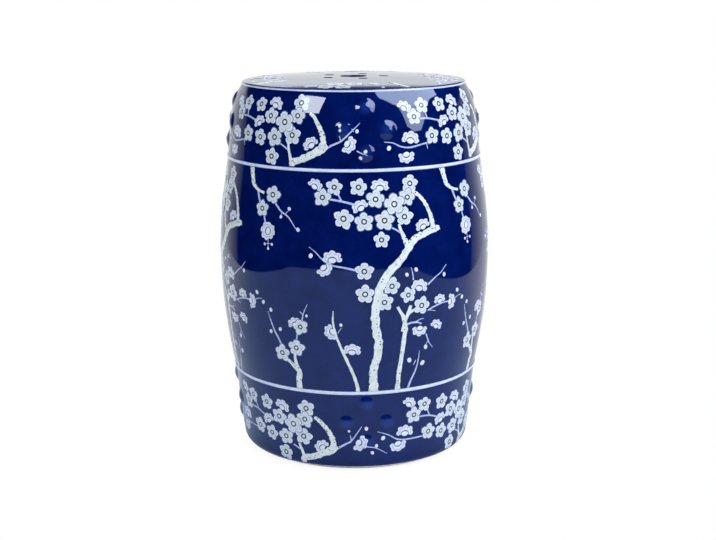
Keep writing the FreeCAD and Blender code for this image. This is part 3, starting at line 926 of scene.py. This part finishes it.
def laySides(art, entries, random):
    # blossoms seen from the side: a fan of five petals behind an oval cup with an inked brow;
    # outline = size x (gap + petal |cos|^shape) over the fan, and a rounded back
    centres, size, facing, lift = placesOf(entries)
    size, facing, shape = size[:, None], np.radians(90 - facing)[:, None], sideBlossom
    angle = np.linspace(-np.pi, np.pi, drawing["columns"], endpoint=False)
    fan = np.abs(angle) < np.radians(shape["fan"])
    lobe = np.abs(np.cos(angle * 180 / shape["petalWidth"])) ** shape["petalShape"]
    outline = size * np.where(fan, shape["petals"][0] + shape["petals"][1] * lobe, shape["back"])
    outline = outline * random.uniform(*shape["uneven"], outline.shape)

    def layTurned(finish, x, y, high):
        # x along the facing, y across it; an inked line's rows run along it, so its grid is turned
        if high.shape[-1] > 1:
            x, y = x.transpose(0, 2, 1), y.transpose(0, 2, 1)
        c, s = np.cos(facing), np.sin(facing)
        lay(art, finish, centres, x * c - y * s, x * s + y * c, high)

    share = perRow(0.3, 0.68, 0.965, 1.0)
    layTurned("edge", outline * np.cos(angle) * shape["squash"] * share, outline * np.sin(angle) * share,
              np.concatenate([lift, lift, lift, np.full_like(lift, drawing["sunk"])], 1))
    line = (shape["petalLine"] * outline + drawing["lineWidth"] * perRow(-0.5, 0, 0.5))[..., fan]
    layTurned("soft", line * np.cos(angle[fan]) * shape["squash"], line * np.sin(angle[fan]),
              lift + [-0.05, 0.06, -0.05])
    # cup
    ring = np.linspace(0, 2 * np.pi, shape["cupColumns"], endpoint=False)
    (long, wide), at, share = shape["cup"], shape["cupAt"], perRow(0.4, 0.92, 1.0)
    layTurned("dot", size * (at + long * share * np.cos(ring)), size * (wide * share * np.sin(ring)),
              lift + perRow(0.16, 0.12, -0.05))
    # brow over the cup, thickest in its middle
    brow = np.linspace(-shape["browSweep"], shape["browSweep"], shape["browSteps"])
    (long, wide), (ends, middle, spread) = shape["brow"], shape["browWidth"]
    thick = (ends + middle * np.cos(brow / spread) ** 2) * perRow(-0.5, 0.0, 0.5)
    layTurned("dark", size * (at + long * np.cos(brow)) + thick * np.cos(brow),
              size * (wide * np.sin(brow)) + thick * np.sin(brow), lift + [-0.05, 0.1, -0.05])


bud = {
    "share": 0.86,         # painted radius as a share of the size listed above
    "shape": (1.12, 0.92),  # length and width, shares of that
    "lean": 0.7,           # rad either way
    "columns": 14,
}


def layBuds(art, entries, random):
    # round buds, a little longer than wide
    rows = np.array(entries, float)
    angle = np.linspace(0, 2 * np.pi, bud["columns"], endpoint=False)
    radius = rows[:, 2:, None] * bud["share"] * perRow(0.5, 0.9, 1.0)
    lean = random.uniform(-bud["lean"], bud["lean"], (len(rows), 1, 1))
    long, wide = radius * bud["shape"][0] * np.cos(angle), radius * bud["shape"][1] * np.sin(angle)
    lay(art, "edge", rows[:, :2], wide * np.cos(lean) - long * np.sin(lean),
        wide * np.sin(lean) + long * np.cos(lean), drawing["ground"] + perRow(0.25, 0.18, -0.5))


# strokes of each finish: painted width as a share of the widths listed above, unevenness of the
# edges as a share of it, and lift in mm over the ground
brushes = {"twig": (0.72, 0.03, -0.02), "trunk": (0.86, 0.11, 0.065)}
stroke = {
    "steps": 5,            # points between two listed rows
    "thinnest": 0.75,      # mm
    "sides": [-0.5, -0.44, 0, 0.44, 0.5],  # section, shares of the width
    "ridge": 0.06,         # mm that its middle stands above its sides
    "roughest": 1.6,       # standard deviations that an edge may stray
}


def smoothPath(rows):
    # points eased through the given rows: each span is the cubic whose slopes come from its neighbours
    rows = np.array(rows, float)
    ends = np.concatenate([[2 * rows[0] - rows[1]], rows, [2 * rows[-1] - rows[-2]]])
    t = (np.arange(stroke["steps"]) / stroke["steps"])[None, :, None]
    a, b, c, d = (ends[i:len(ends) - 3 + i, None] for i in range(4))
    curve = 0.5 * (2 * b + (c - a) * t + (2 * a - 5 * b + 4 * c - d) * t ** 2
                   + (3 * b - a - 3 * c + d) * t ** 3)
    return np.concatenate([curve.reshape(-1, rows.shape[1]), rows[-1:]])


def layStrokes(art, finish, entries, random):
    # brush strokes: a low ridge carried along each eased path, its width from the rows
    share, rough, rise = brushes[finish]
    level, most = drawing["ground"] + rise, stroke["roughest"]
    high = np.array([drawing["sunk"], level, level + stroke["ridge"], level, drawing["sunk"]])
    for path in map(smoothPath, entries):
        flat = art["flatten"](*path[:, :2].T)
        heading = np.gradient(flat, axis=0)
        heading /= np.hypot(*heading.T)[:, None]
        width = np.maximum(path[:, 2:] * share, stroke["thinnest"])
        bumps = 1 + rough * random.normal(0, 1, (len(path), 2)).clip(-most, most)
        offset = stroke["sides"] * width * bumps[:, [0, 0, 0, 1, 1]]
        away = flat - flat[0]
        lay(art, finish, path[:1, :2], (away[:, :1] - heading[:, 1:] * offset)[None],
            (away[:, 1:] + heading[:, :1] * offset)[None], high)


bark = {
    "from": 5,             # mm, listed width of the strokes that have marks
    "fewest": (6, 4),      # points a stroke must have, and marks that it gets
    "sides": [-0.40, -0.34, 0.34, 0.40, 0.1],  # shares of the width, most near the edges
    "size": (0.5, 0.95),   # mm
    "lift": 0.208,         # mm over the ground
}


def layBark(art, entries, random):
    # dark ticks and knots on the thicker strokes
    fewest, least = bark["fewest"]
    for path in map(smoothPath, entries):
        thick = path[path[:, 2] > bark["from"]]
        if len(thick) >= fewest:
            thick = thick[random.choice(len(thick), max(least, len(thick) // 2), replace=False)]
            side = random.choice(bark["sides"], (len(thick), 1)) * thick[:, 2:]
            laySpecks(art, "dark", thick[:, :2], side * brushes["trunk"][0], np.zeros_like(side),
                      random.uniform(*bark["size"], side.shape),
                      np.full((len(thick), 1, 1), drawing["ground"] + bark["lift"]))


def drawBand(name, motif, surface):
    # the strokes first, then what lies over them, and one piece of each finish
    place, flatten = surface(*motif["levels"])
    art = {"place": place, "flatten": flatten, "parts": {}}
    random = np.random.default_rng(drawing["seed"])
    layStrokes(art, "twig", motif["twigs"], random)
    layStrokes(art, "trunk", motif["trunks"], random)
    layBark(art, motif["trunks"], random)
    layFronts(art, motif["fronts"], random)
    laySides(art, motif["sides"], random)
    layBuds(art, motif["buds"], random)
    for finish, pieceName, material in (
        ("twig", "Twigs", slipTwig), ("trunk", "Trunks", slipTrunk), ("edge", "Petals", slipEdge),
        ("heart", "PetalHearts", slipHeart), ("soft", "PetalLines", inkSoft), ("dark", "Rings", inkDark),
        ("dot", "Dots", slipDot),
    ):
        points, faceSets, count = [], [], 0
        for grid, closedRows in art["parts"][finish]:
            faceSets += [faces + count for faces in shellFaces(*grid.shape[:3], closedRows)]
            points.append(grid.reshape(-1, 3))
            count += len(points[-1])
        newPiece(name + pieceName, np.concatenate(points), faceSets, [material])


for bandName, bandMotif, surface in (("upperBand", upperMotif, overWall), ("belly", bellyMotif, overWall),
                                     ("lowerBand", lowerMotif, overWall), ("seat", seatMotif, overSeat)):
    drawBand(bandName, bandMotif, surface)
    print(bandName, "drawn")

# The studio: a pale sheet on the floor, a low pale backdrop, a dark room, three lamps, and three pale
# cards that only the glaze mirrors.

studio = {
    "sheetColour": "#ededf0",
    "sheetSides": (-1.12, 0.98),   # m, edges that the glaze mirrors
    "sheetReach": 1.42,            # m, its rounded front
    "sheetBack": 6.0,              # m
    "sheetSteps": 41,
    "mirroredFront": "#b4d2f4",    # sheet as the glaze mirrors it, towards the camera and beyond
    "mirroredBack": "#f2f5fa",
    # from and to in m, and the value at each
    "fade": (0.05, 0.15, 0, 1),    # from the axis, where the sheet turns to plain white
    "inwards": (-0.15, 0.5, 0, 1),  # from the front colour to the back one
    # painted shadow in the mirrored sheet: its glow dimmer next to the foot than away from it
    "paintedFootShadow": (0.13, 0.20, 0.5775, 1.05),  # from the axis, mirrored light next to the foot and away
    # backdrop's light in the glaze, all four multiplied: part of the ray's direction, from and to,
    # and the value at each
    "backdrop": [
        ("Y", 0.48, 0.82, 0.34, 1.3, "LINEAR"),          # at its sides, and straight behind
        ("Y", 0.43, 0.48, 0.006 / 0.34, 1, "SMOOTHSTEP"),  # the dark room beside it
        ("Z", 0.262, 0.195, 0.02, 1, "SMOOTHSTEP"),      # its upper edge
        ("Z", 0.17, 0.10, 1, 0.85, "SMOOTHSTEP"),        # a little less near the floor
    ],
    "backdropColour": "#eff3f3",
    "fill": 0.34,
    "fillColour": "#f6f8ff",
}
rangeSockets = ("From Min", "From Max", "To Min", "To Max")


def lightLaidOver(tree, surface, kind, layers):
    # a surface under layers of plain light, each by its share
    for share, colour, strength in layers:
        light = addNode(tree, kind, {"Color": colour, "Strength": strength})
        surface = addNode(tree, "MixShader", {"Fac": share, 1: surface, 2: light})
    return surface


def stagePiece(name, material, corners):
    # one flat face that isn't part of the object
    mesh = bpy.data.meshes.new(name)
    mesh.from_pydata(corners, [], [tuple(range(len(corners)))])
    mesh.materials.append(material)
    piece = bpy.data.objects.new(name, mesh)
    bpy.context.scene.collection.objects.link(piece)
    return piece


def makeFloor():
    # pale sheet; near the stool it shows its shadow, further out it is as white as the backdrop; to the glaze
    # it glows in a tint, with a painted shadow next to the foot
    material, tree = newMaterial("whiteStudioSheet")
    place = addNode(tree, "TexCoord").outputs["Object"]
    away = addNode(tree, "VectorMath", {0: place}, operation="LENGTH")
    inwards = addNode(tree, "SeparateXYZ", {"Vector": place}).outputs["Y"]
    fade, depth, shadow = (
        addNode(tree, "MapRange", {"Value": value, **dict(zip(rangeSockets, studio[name]))},
                interpolation_type="SMOOTHSTEP")
        for name, value in (("fade", away), ("inwards", inwards), ("paintedFootShadow", away)))
    tint = addNode(tree, "Mix", {0: depth, 6: linear(studio["mirroredFront"]),
                                 7: linear(studio["mirroredBack"])}, data_type="RGBA")
    path = addNode(tree, "LightPath").outputs
    seen = addNode(tree, "Math", {0: fade, 1: path["Is Camera Ray"]}, operation="MULTIPLY")
    lit = addNode(tree, "BsdfDiffuse", {"Color": linear(studio["sheetColour"])})
    # to the glaze the sheet glows in a tint, dimmed next to the foot as a painted shadow
    surface = lightLaidOver(tree, lit, "Emission", ((seen, (1, 1, 1, 1), 1.0),
                                                    (path["Is Glossy Ray"], tint, shadow)))
    addNode(tree, "OutputMaterial", {"Surface": surface})
    (left, right), reach, back = studio["sheetSides"], studio["sheetReach"], studio["sheetBack"]
    turn = np.linspace(np.arcsin(left / reach), np.arcsin(right / reach), studio["sheetSteps"])
    corners = [(reach * np.sin(a), -reach * np.cos(a), 0) for a in turn] + [(right, back, 0), (left, back, 0)]
    stagePiece("studioSheet", material, corners)


def makeWorld():
    # white to the eye; to the glaze a low pale backdrop behind, and a dark room elsewhere
    world = bpy.data.worlds.new("studioRoom")
    world.use_nodes = True
    bpy.context.scene.world = world
    tree = world.node_tree
    tree.nodes.clear()
    direction = addNode(tree, "TexCoord").outputs["Generated"]
    parts = addNode(tree, "SeparateXYZ", {"Vector": direction}).outputs
    pale = 1.0
    for part, *values, interpolation in studio["backdrop"]:
        share = addNode(tree, "MapRange", {"Value": parts[part], **dict(zip(rangeSockets, values))},
                        interpolation_type=interpolation)
        pale = addNode(tree, "Math", {0: pale, 1: share}, operation="MULTIPLY")
    path = addNode(tree, "LightPath").outputs
    mirrored = addNode(tree, "Math", {0: path["Is Glossy Ray"], 1: path["Is Transmission Ray"]},
                       operation="MAXIMUM")
    fill = addNode(tree, "Background", {"Color": linear(studio["fillColour"]), "Strength": studio["fill"]})
    surface = lightLaidOver(tree, fill, "Background", (
        (mirrored, linear(studio["backdropColour"]), pale), (path["Is Camera Ray"], (1, 1, 1, 1), 1.0)))
    addNode(tree, "OutputWorld", {"Surface": surface})


# lamps that light the colours: azimuth from the front towards +X and height angle in degrees, then
# metres and watts; only the one overhead shows in the glaze as well
softBoxes = {
    "keyBox": {"at": (-40.6, 38.5), "size": (0.46, 0.72), "watts": 14, "colour": "#edf2ff"},
    "sideLight": {"at": (58, 40), "size": (1.8, 1.2), "watts": 44, "colour": "#f2f5ff"},
    "topBox": {"at": (180, 70), "size": (1.8, 1.8), "watts": 6, "colour": "#f4f8ff", "mirrored": True},
}
boxDistance = 2.2  # m

# pale cards that only show in the glaze: corners as azimuth and height angle, seen from a place near
# the shoulder in metres
mirrorCards = {
    "keyCard": {"corners": [(-62, 42), (-32, 45.5), (-34, 27), (-50, 25.5)],
                "seenFrom": (-0.06, -0.13, 0.43), "strength": 17.0, "colour": "#eaf0ff"},
    "windowCard": {"corners": [(23, 60), (25, 51), (29, 45), (36, 41), (40, 37), (45, 34), (57, 31),
                               (69, 28), (79.5, 27), (87.5, 30), (99, 29), (104, 62), (62, 72)],
                   "seenFrom": (0.08, -0.12, 0.43), "strength": 11.2, "colour": "#cadfff"},
    "columnCard": {"corners": [(45, 34), (49, 10), (55, 5), (63, 5), (69, 14.5), (75, 27.5), (57, 31)],
                   "seenFrom": (0.10, -0.10, 0.42), "strength": 8.0, "colour": "#d2dfff"},
}
cardDistance = 3.0  # m


def towards(azimuth, height):
    # unit vector at angles in degrees
    a, h = np.radians((azimuth, height))
    return Vector((np.sin(a) * np.cos(h), -np.cos(a) * np.cos(h), np.sin(h)))


def makeLights():
    # area lamps that face the middle of the stool
    centre = Vector((0, 0, (cadLow[2] + cadHigh[2]) / 2))
    for name, plan in softBoxes.items():
        lamp = bpy.data.lights.new(name, "AREA")
        lamp.shape = "RECTANGLE"
        lamp.size, lamp.size_y = plan["size"]
        lamp.energy = plan["watts"]
        lamp.color = linear(plan["colour"])[:3]
        box = bpy.data.objects.new(name, lamp)
        bpy.context.scene.collection.objects.link(box)
        away = towards(*plan["at"])
        box.matrix_world = (Matrix.Translation(centre + away * boxDistance)
                            @ away.to_track_quat("Z", "Y").to_matrix().to_4x4())
        box.visible_camera = False
        box.visible_glossy = plan.get("mirrored", False)


def makeCards():
    # flat glowing cards whose corners lie at one distance from the place that mirrors them
    for name, plan in mirrorCards.items():
        material, tree = newMaterial(name)
        glow = addNode(tree, "Emission", {"Color": linear(plan["colour"]), "Strength": plan["strength"]})
        addNode(tree, "OutputMaterial", {"Surface": glow})
        card = stagePiece(name, material, [Vector(plan["seenFrom"]) + towards(*corner) * cardDistance
                                           for corner in plan["corners"]])
        for ray in ("camera", "diffuse", "transmission", "volume_scatter", "shadow"):
            setattr(card, "visible_" + ray, False)


view = {
    "frameWidth": 716,      # px of the photograph
    "focal": 1348.756,      # px
    "sensorWidth": 36,      # mm
    "principalOffset": -3.445,  # px
    "back": -1638.257,      # mm
    "height": 580.845,
    "pitch": 0.220773,      # rad, looking down
    "roll": -0.005953,
}


def makeCamera():
    # the photograph's own view: in front of the stool and a little above it, looking down
    data = bpy.data.cameras.new("studioCamera")
    data.sensor_fit = "HORIZONTAL"
    data.sensor_width = view["sensorWidth"]
    data.lens = view["sensorWidth"] * view["focal"] / view["frameWidth"]
    data.shift_x = -view["principalOffset"] / view["frameWidth"]
    camera = bpy.data.objects.new("studioCamera", data)
    bpy.context.scene.collection.objects.link(camera)
    camera.matrix_world = (Matrix.Translation((0, view["back"] * mm, view["height"] * mm))
                           @ Matrix.Rotation(np.pi / 2 - view["pitch"], 4, "X")
                           @ Matrix.Rotation(view["roll"], 4, "Z"))
    bpy.context.scene.camera = camera


makeFloor()
makeWorld()
makeLights()
makeCards()
makeCamera()
bpy.context.scene.view_settings.view_transform = "Standard"
print("studio made")
